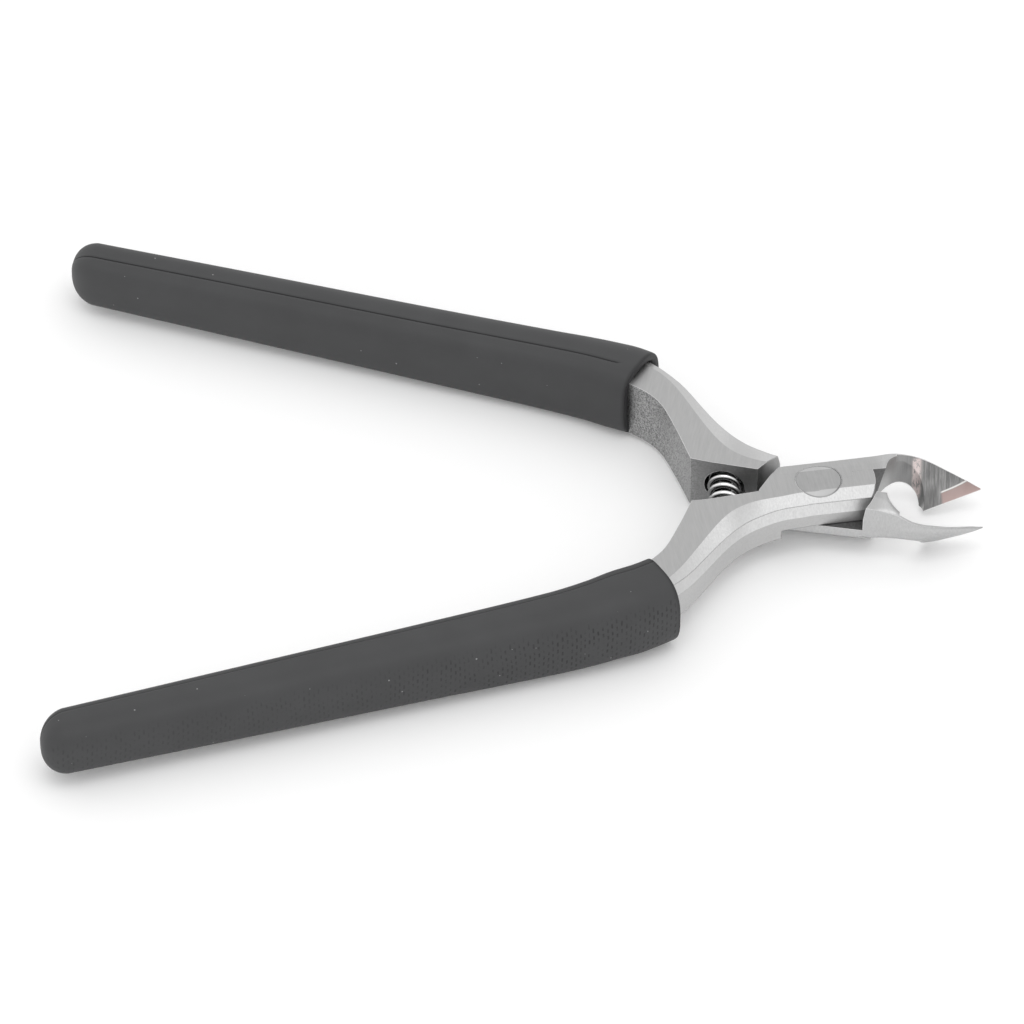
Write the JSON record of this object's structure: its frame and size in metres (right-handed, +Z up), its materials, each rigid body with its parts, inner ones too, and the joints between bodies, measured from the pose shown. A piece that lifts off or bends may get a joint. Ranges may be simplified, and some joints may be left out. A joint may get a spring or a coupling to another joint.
{
  "type": "cuticle nipper",
  "caption": "Lap-joint cuticle nipper with hollow-ground pointed jaws, a return spring between the arms and rubber grip sleeves.",
  "frame": {"origin": "on the pivot axis, in the flat underside of the lap joint", "axes": "+X from the pivot to the jaw tips, +Z up along the pivot axis, +Y towards the lower arm's handle"},
  "size_m": [0.119, 0.097, 0.0107],
  "materials": {
    "satin_steel": "satin forged steel, ground bright on the bevels, hollow ground inside the jaws",
    "rivet_steel": "satin, ground flush",
    "spring_steel": "polished spring wire",
    "grip_rubber": "matte, finely pitted"
  },
  "bodies": {
    "lower_body": {"lower_arm": "satin_steel", "lower_grip_sleeve": "grip_rubber", "return_spring": "spring_steel"},
    "upper_body": {"upper_arm": "satin_steel", "pivot_rivet": "rivet_steel", "upper_grip_sleeve": "grip_rubber"}
  },
  "joints": [
    {"name": "pivot", "type": "hinge", "parent": "lower_body", "child": "upper_body", "pos_m": [0, 0, 0], "axis": [0, 0, 1], "range_deg": [-18.9, 0], "stiffness_Nm_per_rad": 0.25, "springref_deg": 34.38, "deforming": ["return_spring"]}
  ]
}
